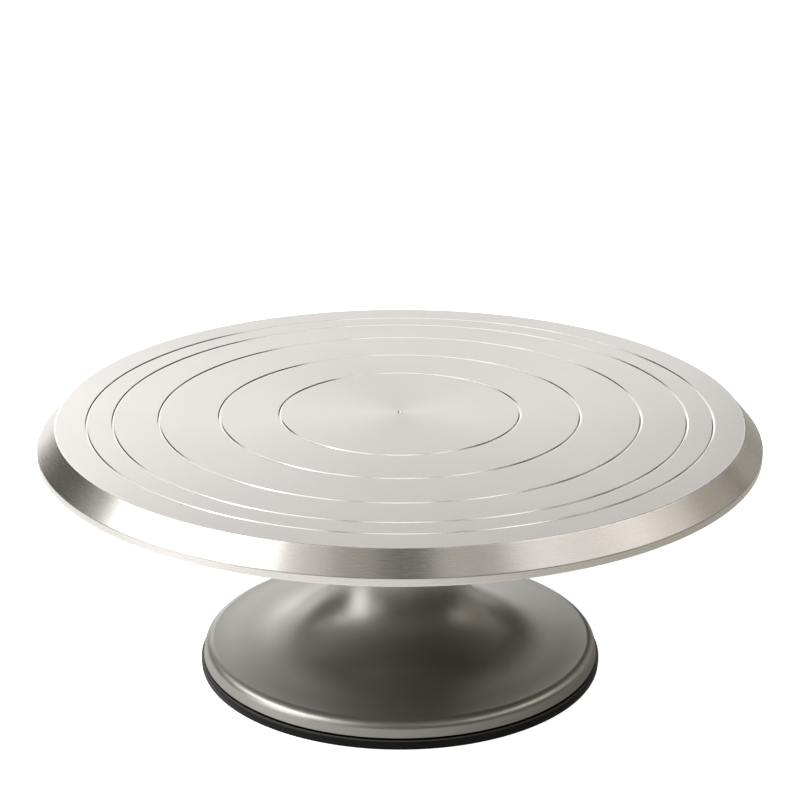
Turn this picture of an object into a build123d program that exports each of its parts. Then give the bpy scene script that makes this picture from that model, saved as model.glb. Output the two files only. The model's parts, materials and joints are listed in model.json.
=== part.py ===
from build123d import *
import math
import os

# Revolving cake stand: a turned turntable on a hollow cast pedestal, carried by two
# deep-groove ball bearings inside the pedestal's neck.
# Millimetres. Z is the spin axis, pointing up. Z = 0 is the plane the foot ring rests on.
# Outlines are lists of (radius, z), with an optional third value: the corner's fillet radius.

# ---- turntable plate ----
HEIGHT = 114.0              # resting plane to the working face
PLATE_R = 152.5
FACE_R = 145.0              # working face, inside the bevel
BEVEL_DROP = 8.8            # height of the conical rim
BAND_H = 3.3                # plain cylindrical band under the cone
SKIN_T = 4.5                # thickness of the disc
RIM_FOOT_W = 3.9            # width of the rim's lower edge
EDGE_BREAK = 0.4            # fillets on the rim's outer edges
UNDERSIDE_FILLET = 2.5
GROOVE_R = (131.7, 120.8, 101.6, 76.2, 50.8)   # engraved centring rings
GROOVE_W = 1.3
GROOVE_FLOOR_W = 0.35
GROOVE_D = 0.36
CENTRE_MARK_R = 1.1
CENTRE_MARK_D = 0.8
BOSS_R = 42.0               # thick pad the spindle flange screws to
BOSS_TAPER = 1.6            # how much wider the pad is where it meets the disc
BOSS_Z = 104.0              # underside of the pad
PILOT_R = 12.0              # recess in the pad that centres the flange
PILOT_D = 2.0

# ---- spindle flange and its screws ----
FLANGE_R = 38.0
FLANGE_Z = 98.5             # underside of the flange
NOSE_R = 10.4               # nose that bears on the upper inner ring
PILOT_SIDE_GAP = 0.05
PILOT_END_GAP = 0.3
SCREW_PCD = 60.0
SCREW_N = 4
SCREW_R = 2.45              # M5
SCREW_HOLE_R = 2.75
TAPPED_R = 2.5
TAPPED_RUNOUT = 0.9         # tapped hole beyond the screw's tip
SCREW_LEN = 12.0
SCREW_TIP = 0.6             # chamfer at the tip
SCREW_HEAD_R = 4.7
SCREW_HEAD_EDGE = 0.15      # chamfer round the head's face
SOCKET_AF = 3.0             # across flats
SOCKET_D = 2.0
SCREW_SET_IN = 0.3          # head face above the flange's underside
SINK_GAP = 0.02
SINK_R = SCREW_HEAD_R + SCREW_SET_IN + SCREW_HEAD_EDGE + SINK_GAP
SCREW_TURN = 17.0           # extra turn from each screw's socket to the next

# ---- bearings, both 6202 ----
BRG_W = 11.0
BRG_OR = 17.5
UPPER_Z = 88.5              # mid-planes
LOWER_Z = 48.5
UPPER_TOP, UPPER_BOTTOM = UPPER_Z + BRG_W / 2, UPPER_Z - BRG_W / 2
LOWER_TOP, LOWER_BOTTOM = LOWER_Z + BRG_W / 2, LOWER_Z - BRG_W / 2
BALL_R = 2.9765
BALL_N = 8
PITCH_R = 12.5
RACE_R = 3.08               # raceway cross-section radius
RACE_GAP = 0.01             # running clearance, ball to raceway
INNER_LAND_R = 10.85
OUTER_LAND_R = 14.7
SHIELD_SEAT_R = 15.6
SHIELD_SEAT_Z = BRG_W / 2 - 0.85    # above and below the mid-plane
SHIELD_IR = 11.3
SHIELD_T = 0.35
SHIELD_LIP = 0.25           # height of the bead at the shield's outer edge
CAGE_IR = 11.35
CAGE_OR = 13.65
CAGE_BELOW = 4.2            # cage edges, from the mid-plane
CAGE_ABOVE = 1.4
POCKET_R = 3.09

# ---- snap ring over the upper bearing ----
CIRCLIP_IR = 15.6
CIRCLIP_R = 18.5
CIRCLIP_T = 1.5
CIRCLIP_PLAY = 0.1          # slack in the housing groove, radially and in height
CIRCLIP_GAP = 7.0
LUG_X, LUG_Y = 14.9, 4.6
LUG_R = 2.1
EYE_R = 0.9

# ---- preload wave washer over the lower bearing ----
WAVE_SPACE = 1.4            # height of the space it sits in
WAVE_T = 0.4
WAVE_END_GAP = 0.01
WAVE_IR = 14.9
WAVE_OR = 17.3
WAVE_N = 3
WAVE_STATIONS = 48          # spline points round each edge

# ---- spindle and its end fixings ----
SPINDLE_R = 7.5
SPINDLE_TOP = 105.4
SPINDLE_END = 43.6
SPINDLE_CHAMFER = 0.8
END_HOLE_D = 21.0           # depth to the start of the drill point
END_HOLE_TIP = 2.0          # height of the drill point
END_HOLE_CHAMFER = 0.6
END_SCREW_R = 3.95          # M8
END_SCREW_GAP = 0.05
END_SCREW_LEN = 20.0
END_SCREW_TIP = 0.8
HEAD_H = 5.3
HEAD_AF = 13.0              # across flats
HEAD_CORNER_R = 7.7         # corners are trimmed to this radius
HEAD_FACE_R = 6.3
HEAD_CHAMFER_H = 0.8
SPACER_R = 10.2
WASHER_T = 1.8
WASHER_IR, WASHER_OR = 4.2, 10.4
LOCK_T = 2.0
LOCK_IR, LOCK_OR = 4.1, 7.3
LOCK_SLIT_W = 0.9
LOCK_SLIT_TILT = 28.0
SMALL_FILLET = 0.3          # edges of bearing lands, spacer and washer
WASHER_Z = LOWER_BOTTOM - WASHER_T  # undersides
LOCK_Z = WASHER_Z - LOCK_T

# ---- pedestal ----
NECK_R = 24.2
NECK_STRAIGHT_Z = 92.0      # the neck is cylindrical above this
NECK_TOP = 97.0
NECK_FILLET = 1.0
MOUTH_CHAMFER = 0.5
BORE_MID_R = 15.2           # bore between the two bearing seats
HOUSING_END = 36.0          # lower mouth of the bearing housing
HOUSING_CHAMFER = 0.8
RIM_SEAT_Z = 4.7            # visible lower edge of the rim
RIM_BAND_R = 85.9
RIM_SHOULDER_R = 85.27
RIM_SHOULDER_Z = 8.07
SHOULDER_FILLET = 4.2
DISC_SLOPE = math.radians(2.65)
RIM_INNER_Z = 7.7           # end of the hollow's curve, beside the rim
RIM_INNER_FILLET = 2.5
FOOT_TONGUE_R = 85.0        # tongue that the foot ring grips
FOOT_TONGUE_IR = 81.0
FOOT_TONGUE_Z = 2.2
RIB_N = 6
RIB_T = 3.6

# ---- foot ring ----
RING_R = 87.0
RING_BASE_R = 86.8
RING_FLARE_Z = 2.0          # the outside widens from the base up to here
RING_IR = 78.4
RING_TOP_Z = 5.2            # inner lip
RING_LIP_Z = 3.8            # outer lip
RING_GROOVE_R = (81.6, 84.2)
RING_GROOVE_W = 1.0
RING_GROOVE_FLOOR_W = 0.8
RING_GROOVE_D = 0.6

# Pedestal skin from the rim shoulder up to the neck: (radius, z)
OUTER_CURVE = [
    (70.0, 12.5), (60.0, 13.65), (52.0, 15.6), (45.0, 18.9), (39.0, 23.0), (34.5, 27.3),
    (31.0, 32.1), (28.3, 37.6), (26.4, 43.9), (25.0, 53.7), (23.6, 67.1), (23.0, 79.0),
]
# Hollow under the skin, from the housing out to the rim: (radius, z)
INNER_CURVE = [
    (25.0, 34.9), (28.0, 29.2), (32.0, 23.9), (36.0, 20.15), (40.0, 17.2),
    (45.0, 14.2), (50.0, 11.95), (55.0, 10.45), (60.0, 9.5), (69.0, 8.4),
]
# Stiffening rib: lower edge outward, then back inward within the skin: (radius, z)
RIB_OUTLINE = [
    (20.4, 28.5), (24.0, 23.0), (31.5, 14.5), (40.0, 8.6), (50.0, 5.8),
    (RING_IR - 2.4, 4.4), (RING_IR - 0.8, 6.0), (RING_IR - 0.8, 9.6),
    (66.2, 10.8), (60.3, 11.5), (55.5, 12.4), (50.7, 13.8), (46.0, 16.0), (41.1, 18.9),
    (37.3, 21.7), (33.5, 25.2), (29.7, 30.2), (26.8, 35.8), (22.0, 37.6), (20.4, 37.6),
]


# ======================================================================
# helpers
# ======================================================================
def at(point):
    """A (radius, z) point placed in the XZ plane."""
    return Vector(point[0], 0, point[1])


def corner_arc(before, corner, after, radius):
    """Start, middle and end of the fillet arc that rounds a corner."""
    back = (before - corner).normalized()
    ahead = (after - corner).normalized()
    half = math.acos(back.dot(ahead)) / 2
    reach = radius / math.tan(half)
    inward = (back + ahead).normalized()
    middle = corner + inward * (radius / math.sin(half) - radius)
    return corner + back * reach, middle, corner + ahead * reach


def turned(outline):
    """A solid of revolution about Z from a closed outline."""
    corners = [at(point) for point in outline]
    count = len(corners)
    bends = []
    for i, point in enumerate(outline):
        if len(point) > 2:
            after = corners[(i + 1) % count]
            bends.append(corner_arc(corners[i - 1], corners[i], after, point[2]))
        else:
            bends.append((corners[i], None, corners[i]))
    edges = []
    for i, (start, middle, end) in enumerate(bends):
        if middle is not None:
            edges.append(Edge.make_three_point_arc(start, middle, end))
        edges.append(Edge.make_line(end, bends[(i + 1) % count][0]))
    return revolve_edges(edges)


def revolve_edges(edges):
    return revolve(Face(Wire(edges)), Axis.Z, 360)


def lines(points):
    """Straight edges joining consecutive (radius, z) points."""
    return [Edge.make_line(at(p), at(q)) for p, q in zip(points[:-1], points[1:])]


def polar(centre, radius, angle):
    """The (radius, z) point at an angle on a circle in the section."""
    return (centre[0] + radius * math.cos(angle), centre[1] + radius * math.sin(angle))


def arc(centre, radius, start, end):
    angles = (start, (start + end) / 2, end)
    return Edge.make_three_point_arc(*[at(polar(centre, radius, a)) for a in angles])


def upright(radius, height, x, y, z):
    """A vertical cylinder standing on (x, y, z)."""
    return Pos(x, y, z) * Cylinder(
        radius, height, align=(Align.CENTER, Align.CENTER, Align.MIN)
    )


def hexagon(across_flats):
    return RegularPolygon(across_flats / math.sqrt(3), 6)


def around(count, radius, start):
    """(x, y, angle in degrees) of equally spaced places on a circle."""
    angles = [start + 360.0 * i / count for i in range(count)]
    return [
        (radius * math.cos(math.radians(a)), radius * math.sin(math.radians(a)), a)
        for a in angles
    ]


def single_solid(shape):
    """The one solid of a boolean result."""
    solids = shape.solids()
    assert len(solids) == 1, len(solids)
    return solids[0]


SCREW_PLACES = around(SCREW_N, SCREW_PCD / 2, 45.0)
BALL_PLACES = around(BALL_N, PITCH_R, 22.5)


# ======================================================================
# turntable plate, flange and flange screws
# ======================================================================
def turntable_plate():
    cone_z = HEIGHT - BEVEL_DROP
    rim_z = cone_z - BAND_H
    under_z = HEIGHT - SKIN_T
    foot_r = PLATE_R - RIM_FOOT_W
    # the rim's inner wall is parallel to its outer cone
    cone_run = (FACE_R - PLATE_R) / BEVEL_DROP
    inner_top_r = foot_r + cone_run * (under_z - rim_z)
    outline = [
        (0.0, BOSS_Z + PILOT_D),
        (PILOT_R, BOSS_Z + PILOT_D),
        (PILOT_R, BOSS_Z),
        (BOSS_R, BOSS_Z, 1.2),
        (BOSS_R + BOSS_TAPER, under_z, UNDERSIDE_FILLET),
        (inner_top_r, under_z, UNDERSIDE_FILLET),
        (foot_r, rim_z, 0.5),
        (PLATE_R, rim_z, EDGE_BREAK),
        (PLATE_R, cone_z, EDGE_BREAK),
        (FACE_R, HEIGHT, EDGE_BREAK),
    ]
    for radius in GROOVE_R:
        outline += [
            (radius + GROOVE_W / 2, HEIGHT),
            (radius + GROOVE_FLOOR_W / 2, HEIGHT - GROOVE_D),
            (radius - GROOVE_FLOOR_W / 2, HEIGHT - GROOVE_D),
            (radius - GROOVE_W / 2, HEIGHT),
        ]
    outline += [(CENTRE_MARK_R, HEIGHT), (0.0, HEIGHT - CENTRE_MARK_D)]
    plate = turned(outline)
    hole_depth = FLANGE_Z + SCREW_LEN + TAPPED_RUNOUT - BOSS_Z
    for x, y, _ in SCREW_PLACES:
        plate = plate - upright(TAPPED_R, hole_depth, x, y, BOSS_Z)
    return single_solid(plate)


def spindle_flange():
    pilot_r = PILOT_R - PILOT_SIDE_GAP
    pilot_top = BOSS_Z + PILOT_D - PILOT_END_GAP
    flange = turned([
        (SPINDLE_R, UPPER_TOP),
        (NOSE_R, UPPER_TOP),
        (NOSE_R, FLANGE_Z, 1.2),
        (FLANGE_R, FLANGE_Z, 0.8),
        (FLANGE_R, BOSS_Z, 0.4),
        (pilot_r, BOSS_Z),
        (pilot_r, pilot_top),
        (SPINDLE_R, pilot_top),
    ])
    for x, y, _ in SCREW_PLACES:
        through = upright(SCREW_HOLE_R, 8.0, x, y, FLANGE_Z - 1)
        sink = Pos(x, y, FLANGE_Z) * Cone(
            SINK_R,
            SCREW_HOLE_R,
            SINK_R - SCREW_HOLE_R,
            align=(Align.CENTER, Align.CENTER, Align.MIN),
        )
        flange = flange - through - sink
    return single_solid(flange)


def flange_screw(x, y, turn):
    """Countersunk socket screw, pointing up."""
    face_z = FLANGE_Z + SCREW_SET_IN
    edge_z = face_z + SCREW_HEAD_EDGE
    tip_z = face_z + SCREW_LEN
    body = turned([
        (0.0, face_z),
        (SCREW_HEAD_R - SCREW_HEAD_EDGE, face_z),
        (SCREW_HEAD_R, edge_z),
        (SCREW_R, edge_z + SCREW_HEAD_R - SCREW_R),
        (SCREW_R, tip_z - SCREW_TIP),
        (SCREW_R - SCREW_TIP, tip_z),
        (0.0, tip_z),
    ])
    socket = Pos(0, 0, face_z) * extrude(hexagon(SOCKET_AF), SOCKET_D)
    return single_solid(Pos(x, y, 0) * Rot(0, 0, turn) * (body - socket))


def flange_screws():
    return [
        flange_screw(x, y, angle + SCREW_TURN * i)
        for i, (x, y, angle) in enumerate(SCREW_PLACES)
    ]


# ======================================================================
# spindle and its end fixings
# ======================================================================
def spindle():
    hole_r = END_SCREW_R + END_SCREW_GAP
    return single_solid(turned([
        (0.0, SPINDLE_TOP),
        (0.0, SPINDLE_END + END_HOLE_D + END_HOLE_TIP),
        (hole_r, SPINDLE_END + END_HOLE_D),
        (hole_r, SPINDLE_END + END_HOLE_CHAMFER),
        (hole_r + END_HOLE_CHAMFER, SPINDLE_END),
        (SPINDLE_R - SPINDLE_CHAMFER, SPINDLE_END),
        (SPINDLE_R, SPINDLE_END + SPINDLE_CHAMFER),
        (SPINDLE_R, SPINDLE_TOP - SPINDLE_CHAMFER),
        (SPINDLE_R - SPINDLE_CHAMFER, SPINDLE_TOP),
    ]))


def bearing_spacer():
    """Sleeve between the two inner rings."""
    return single_solid(turned([
        (SPINDLE_R, LOWER_TOP, SMALL_FILLET),
        (SPACER_R, LOWER_TOP, SMALL_FILLET),
        (SPACER_R, UPPER_BOTTOM, SMALL_FILLET),
        (SPINDLE_R, UPPER_BOTTOM, SMALL_FILLET),
    ]))


def spindle_washer():
    return single_solid(turned([
        (WASHER_IR, WASHER_Z),
        (WASHER_OR, WASHER_Z, SMALL_FILLET),
        (WASHER_OR, LOWER_BOTTOM, SMALL_FILLET),
        (WASHER_IR, LOWER_BOTTOM),
    ]))


def spindle_lock_washer():
    """Plain ring cut by one tilted slit on the +X side."""
    ring = turned([
        (LOCK_IR, LOCK_Z), (LOCK_OR, LOCK_Z), (LOCK_OR, WASHER_Z), (LOCK_IR, WASHER_Z),
    ])
    slit = Pos(5.8, 0, LOCK_Z + LOCK_T / 2) * Rot(LOCK_SLIT_TILT, 0, 0) * Box(
        5.0, LOCK_SLIT_W, 6.0
    )
    return single_solid(ring - slit)


def spindle_screw():
    """Hexagon screw, pointing up into the spindle."""
    root_z = LOCK_Z - 0.5       # the shank starts inside the head
    tip_z = LOCK_Z + END_SCREW_LEN
    head_z = LOCK_Z - HEAD_H
    shank = turned([
        (0.0, root_z),
        (END_SCREW_R, root_z),
        (END_SCREW_R, tip_z - END_SCREW_TIP),
        (END_SCREW_R - END_SCREW_TIP, tip_z),
        (0.0, tip_z),
    ])
    head = Pos(0, 0, head_z) * extrude(hexagon(HEAD_AF), HEAD_H)
    trim = turned([
        (0.0, head_z),
        (HEAD_FACE_R, head_z),
        (HEAD_CORNER_R, head_z + HEAD_CHAMFER_H),
        (HEAD_CORNER_R, LOCK_Z),
        (0.0, LOCK_Z),
    ])
    return single_solid((head & trim) + shank)


# ======================================================================
# bearings; mid_z is the bearing's mid-plane
# ======================================================================
def inner_ring(mid_z):
    bottom, top = mid_z - BRG_W / 2, mid_z + BRG_W / 2
    ring = turned([
        (SPINDLE_R, bottom, 0.5),
        (INNER_LAND_R, bottom, SMALL_FILLET),
        (INNER_LAND_R, top, SMALL_FILLET),
        (SPINDLE_R, top, 0.5),
    ])
    race_centre = PITCH_R - BALL_R - RACE_GAP + RACE_R
    return single_solid(ring - Pos(0, 0, mid_z) * Torus(race_centre, RACE_R))


def outer_ring(mid_z):
    bottom, top = mid_z - BRG_W / 2, mid_z + BRG_W / 2
    ring = turned([
        (SHIELD_SEAT_R, bottom),
        (BRG_OR, bottom, 0.5),
        (BRG_OR, top, 0.5),
        (SHIELD_SEAT_R, top),
        (SHIELD_SEAT_R, mid_z + SHIELD_SEAT_Z),
        (OUTER_LAND_R, mid_z + SHIELD_SEAT_Z),
        (OUTER_LAND_R, mid_z - SHIELD_SEAT_Z),
        (SHIELD_SEAT_R, mid_z - SHIELD_SEAT_Z),
    ])
    race_centre = PITCH_R + BALL_R + RACE_GAP - RACE_R
    return single_solid(ring - Pos(0, 0, mid_z) * Torus(race_centre, RACE_R))


def shields(mid_z):
    """Upper shield, then its mirror image below the mid-plane."""
    outside = SHIELD_SEAT_Z + SHIELD_T
    outline = [
        (SHIELD_IR, SHIELD_SEAT_Z),
        (SHIELD_SEAT_R, SHIELD_SEAT_Z),
        (SHIELD_SEAT_R, outside + SHIELD_LIP),
        (SHIELD_SEAT_R - 0.45, outside + SHIELD_LIP),
        (SHIELD_SEAT_R - 0.6, outside),
        (SHIELD_IR, outside),
    ]
    return [
        single_solid(turned([(radius, mid_z + side * z) for radius, z in outline]))
        for side in (1, -1)
    ]


def balls(mid_z):
    return [
        Solid.make_sphere(BALL_R, angle1=-90, angle2=90, angle3=360).moved(
            Location((x, y, mid_z))
        )
        for x, y, _ in BALL_PLACES
    ]


def cage(mid_z):
    bottom, top = mid_z - CAGE_BELOW, mid_z + CAGE_ABOVE
    ring = turned([
        (CAGE_IR, bottom, 0.4), (CAGE_OR, bottom, 0.4), (CAGE_OR, top, 0.3), (CAGE_IR, top, 0.3),
    ])
    for x, y, _ in BALL_PLACES:
        ring = ring - Pos(x, y, mid_z) * Sphere(POCKET_R)
    return single_solid(ring)


def bearing_circlip():
    """Internal snap ring, open on the +X side, with an eyelet each side of the gap."""
    bottom, top = UPPER_TOP, UPPER_TOP + CIRCLIP_T
    ring = turned([
        (CIRCLIP_IR, bottom), (CIRCLIP_R, bottom), (CIRCLIP_R, top), (CIRCLIP_IR, top),
    ])
    circlip = ring - Pos(17.0, 0, bottom + CIRCLIP_T / 2) * Box(9.0, CIRCLIP_GAP, 4.0)
    for side in (1, -1):
        lug = upright(LUG_R, CIRCLIP_T, LUG_X, side * LUG_Y, bottom)
        eye = upright(EYE_R, CIRCLIP_T + 2, LUG_X, side * LUG_Y, bottom - 1)
        circlip = (circlip + lug) - eye
    # keep the lugs within the ring's outer radius
    limit = upright(CIRCLIP_R, 5, 0, 0, bottom - 1)
    return single_solid(circlip & limit)


def preload_wave_washer():
    """Wave spring between the lower outer ring and the housing shoulder."""
    mid_z = LOWER_TOP + WAVE_SPACE / 2
    amplitude = WAVE_SPACE / 2 - WAVE_T / 2 - WAVE_END_GAP

    def rail(radius, offset):
        points = []
        for i in range(WAVE_STATIONS):
            angle = 2 * math.pi * i / WAVE_STATIONS
            z = mid_z + offset + amplitude * math.sin(WAVE_N * angle)
            points.append(Vector(radius * math.cos(angle), radius * math.sin(angle), z))
        return Edge.make_spline(points, periodic=True)

    rails = [
        rail(WAVE_IR, -WAVE_T / 2),
        rail(WAVE_OR, -WAVE_T / 2),
        rail(WAVE_OR, WAVE_T / 2),
        rail(WAVE_IR, WAVE_T / 2),
    ]
    faces = [Face.make_surface_from_curves(a, b) for a, b in zip(rails, rails[1:] + rails[:1])]
    return Solid(Shell(faces))


# ======================================================================
# pedestal and foot ring
# ======================================================================
def base_pedestal():
    # shoulder fillet: tangent to the slightly tapered band and to the disc's slope
    taper = math.atan2(RIM_BAND_R - RIM_SHOULDER_R, RIM_SHOULDER_Z - RIM_SEAT_Z)
    shoulder_centre = polar((RIM_SHOULDER_R, RIM_SHOULDER_Z), -SHOULDER_FILLET, taper)
    disc_angle = math.pi / 2 - DISC_SLOPE
    disc_start = polar(shoulder_centre, SHOULDER_FILLET, disc_angle)
    neck_start = (NECK_R, NECK_STRAIGHT_Z)
    neck_round = (NECK_R - NECK_FILLET, NECK_TOP - NECK_FILLET)
    groove_r = CIRCLIP_R + CIRCLIP_PLAY
    groove_top = UPPER_TOP + CIRCLIP_T + CIRCLIP_PLAY
    wave_top = LOWER_TOP + WAVE_SPACE
    inner_end = (FOOT_TONGUE_IR - RIM_INNER_FILLET, RIM_INNER_Z)
    inner_round = (inner_end[0], RIM_INNER_Z - RIM_INNER_FILLET)
    edges = [
        # tongue and rim band
        *lines([
            (FOOT_TONGUE_IR, FOOT_TONGUE_Z),
            (FOOT_TONGUE_R, FOOT_TONGUE_Z),
            (FOOT_TONGUE_R, RIM_SEAT_Z),
            (RIM_BAND_R, RIM_SEAT_Z),
            (RIM_SHOULDER_R, RIM_SHOULDER_Z),
        ]),
        arc(shoulder_centre, SHOULDER_FILLET, taper, disc_angle),
        # outer skin and neck
        Edge.make_spline(
            [at(p) for p in [disc_start, *OUTER_CURVE, neck_start]],
            tangents=[
                Vector(-math.cos(DISC_SLOPE), 0, math.sin(DISC_SLOPE)),
                Vector(0, 0, 1),
            ],
        ),
        *lines([neck_start, (NECK_R, NECK_TOP - NECK_FILLET)]),
        arc(neck_round, NECK_FILLET, 0, math.pi / 2),
        # bearing housing, from the top down
        *lines([
            (NECK_R - NECK_FILLET, NECK_TOP),
            (BRG_OR + MOUTH_CHAMFER, NECK_TOP),
            (BRG_OR, NECK_TOP - MOUTH_CHAMFER),
            (BRG_OR, groove_top),
            (groove_r, groove_top),
            (groove_r, UPPER_TOP),
            (BRG_OR, UPPER_TOP),
            (BRG_OR, UPPER_BOTTOM),
            (BORE_MID_R, UPPER_BOTTOM),
            (BORE_MID_R, wave_top),
            (BRG_OR, wave_top),
            (BRG_OR, HOUSING_END + HOUSING_CHAMFER),
            (BRG_OR + HOUSING_CHAMFER, HOUSING_END),
            (INNER_CURVE[0][0], HOUSING_END),
            INNER_CURVE[0],
        ]),
        # hollow under the disc
        Edge.make_spline(
            [at(p) for p in [*INNER_CURVE, inner_end]],
            tangents=[Vector(0.42, 0, -1.0), Vector(1.0, 0, -0.07)],
        ),
        arc(inner_round, RIM_INNER_FILLET, math.pi / 2, 0),
        *lines([(FOOT_TONGUE_IR, inner_round[1]), (FOOT_TONGUE_IR, FOOT_TONGUE_Z)]),
    ]
    pedestal = revolve_edges(edges)
    rib_face = Face(Wire(lines(RIB_OUTLINE + RIB_OUTLINE[:1])))
    rib = extrude(rib_face, RIB_T / 2, dir=(0, 1, 0), both=True)
    for i in range(RIB_N):
        pedestal = pedestal + Rot(0, 0, 360.0 * i / RIB_N) * rib
    return single_solid(pedestal)


def foot_ring():
    outline = [(RING_IR, 0.0, 0.5)]
    for radius in RING_GROOVE_R:
        outline += [
            (radius - RING_GROOVE_W / 2, 0.0),
            (radius - RING_GROOVE_FLOOR_W / 2, RING_GROOVE_D),
            (radius + RING_GROOVE_FLOOR_W / 2, RING_GROOVE_D),
            (radius + RING_GROOVE_W / 2, 0.0),
        ]
    outline += [
        (RING_BASE_R, 0.0, 0.5),
        (RING_R, RING_FLARE_Z),
        (RING_R, RING_LIP_Z, 0.6),
        (FOOT_TONGUE_R, RING_LIP_Z),
        (FOOT_TONGUE_R, FOOT_TONGUE_Z),
        (FOOT_TONGUE_IR, FOOT_TONGUE_Z),
        (FOOT_TONGUE_IR, RING_TOP_Z, 0.2),
        (RING_IR, RING_TOP_Z, 0.8),
    ]
    return single_solid(turned(outline))


PARTS = {
    "base_pedestal": base_pedestal(),
    "foot_ring": foot_ring(),
    "bearing_circlip": bearing_circlip(),
    "preload_wave_washer": preload_wave_washer(),
    "turntable_plate": turntable_plate(),
    "spindle_flange": spindle_flange(),
    "flange_screws": flange_screws(),
    "spindle": spindle(),
    "bearing_spacer": bearing_spacer(),
    "spindle_washer": spindle_washer(),
    "spindle_lock_washer": spindle_lock_washer(),
    "spindle_screw": spindle_screw(),
}
for place, mid_z in (("upper", UPPER_Z), ("lower", LOWER_Z)):
    for make in (outer_ring, shields, inner_ring, balls, cage):
        PARTS[f"{place}_bearing_{make.__name__}"] = make(mid_z)

os.makedirs("parts", exist_ok=True)
for name, part in PARTS.items():
    shape = Compound(children=part) if isinstance(part, list) else part
    export_step(shape, f"parts/{name}.step")
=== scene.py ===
import json
import math
from functools import cached_property

import bpy
import numpy as np
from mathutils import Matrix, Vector
from mathutils.geometry import delaunay_2d_cdt


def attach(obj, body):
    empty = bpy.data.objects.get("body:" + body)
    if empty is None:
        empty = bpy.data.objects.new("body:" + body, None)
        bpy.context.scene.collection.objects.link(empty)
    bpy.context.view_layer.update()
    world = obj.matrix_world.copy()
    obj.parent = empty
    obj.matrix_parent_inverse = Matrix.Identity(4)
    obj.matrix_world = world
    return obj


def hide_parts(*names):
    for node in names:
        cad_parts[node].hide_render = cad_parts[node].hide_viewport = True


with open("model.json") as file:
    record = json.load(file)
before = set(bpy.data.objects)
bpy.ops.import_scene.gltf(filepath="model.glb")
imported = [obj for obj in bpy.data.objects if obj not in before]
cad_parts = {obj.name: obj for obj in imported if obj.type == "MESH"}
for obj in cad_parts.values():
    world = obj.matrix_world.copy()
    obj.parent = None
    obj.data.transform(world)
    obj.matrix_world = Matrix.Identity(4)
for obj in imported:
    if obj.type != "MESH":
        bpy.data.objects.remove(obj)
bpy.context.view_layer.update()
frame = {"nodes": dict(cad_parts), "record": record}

MM = 0.001

# Plate dimensions that its material shares
HEIGHT = 114.0
PLATE_R = 152.5
FACE_R = 145.0
BEVEL_DROP = 8.8
BAND_H = 3.3                              # upright band round the rim
BAND_TOP_Z = HEIGHT - BEVEL_DROP
RIM_Z = BAND_TOP_Z - BAND_H


# ======================================================================
# Shader building
# ======================================================================
class Field:
    """An output of a node tree. Arithmetic on it adds math nodes."""

    def __init__(self, shader, socket):
        self.shader = shader
        self.socket = socket

    def __add__(self, other):
        return self.shader.math("ADD", self, other)

    def __radd__(self, other):
        return self.shader.math("ADD", other, self)

    def __sub__(self, other):
        return self.shader.math("SUBTRACT", self, other)

    def __rsub__(self, other):
        return self.shader.math("SUBTRACT", other, self)

    def __mul__(self, other):
        return self.shader.math("MULTIPLY", self, other)

    def __truediv__(self, other):
        return self.shader.math("DIVIDE", self, other)

    def below(self, limit):
        return self.shader.math("LESS_THAN", self, limit)

    def above(self, limit):
        return self.shader.math("GREATER_THAN", self, limit)

    def swing(self, spread):
        """A 0 to 1 value recentred on zero and scaled to this spread."""
        return (self - 0.5) * spread


class Shader:
    """Adds nodes to a node tree."""

    def __init__(self, tree):
        self.tree = tree

    def node(self, kind, **props):
        node = self.tree.nodes.new(kind)
        for name, value in props.items():
            setattr(node, name, value)
        return node

    def out(self, node, which=0):
        return Field(self, node.outputs[which])

    def put(self, value, socket):
        if isinstance(value, Field):
            self.tree.links.new(value.socket, socket)
        elif isinstance(value, tuple) and socket.type == "RGBA":
            socket.default_value = (*value, 1.0)
        else:
            socket.default_value = value

    def put_all(self, values, sockets):
        for value, socket in zip(values, sockets):
            self.put(value, socket)

    def fill(self, node, **inputs):
        """Set inputs by name, an underscore standing for a space."""
        for name, value in inputs.items():
            self.put(value, node.inputs[name.replace("_", " ")])

    def math(self, operation, *values, clamp=False):
        node = self.node("ShaderNodeMath", operation=operation, use_clamp=clamp)
        self.put_all(values, node.inputs)
        return self.out(node)

    def split(self, vector):
        node = self.node("ShaderNodeSeparateXYZ")
        self.put(vector, node.inputs[0])
        return [self.out(node, axis) for axis in range(3)]

    def ramp(self, value, low, high, start=0.0, end=1.0, smooth=False):
        """From start to end as value goes from low to high, clamped outside."""
        kind = "SMOOTHSTEP" if smooth else "LINEAR"
        node = self.node("ShaderNodeMapRange", interpolation_type=kind)
        self.fill(node, Value=value, From_Min=low, From_Max=high, To_Min=start, To_Max=end)
        return self.out(node, "Result")

    def fade(self, value, low, high, smooth=False):
        """From 1 to 0 as value goes from low to high."""
        return self.ramp(value, low, high, start=1.0, end=0.0, smooth=smooth)

    def mix(self, amount, base, over):
        """Mix two colours."""
        node = self.node("ShaderNodeMix", data_type="RGBA")
        self.put_all((amount, base, over), (node.inputs[0], node.inputs[6], node.inputs[7]))
        return self.out(node, 2)

    def lerp(self, amount, base, over):
        """Mix two numbers."""
        node = self.node("ShaderNodeMix", data_type="FLOAT")
        self.put_all((amount, base, over), (node.inputs[0], node.inputs[2], node.inputs[3]))
        return self.out(node)

    def mix_surfaces(self, amount, base, over, output):
        """Mix two surface nodes and send the result to the output node."""
        mixer = self.node("ShaderNodeMixShader")
        self.put_all((amount, self.out(base), self.out(over)), mixer.inputs)
        self.fill(output, Surface=self.out(mixer))


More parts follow.
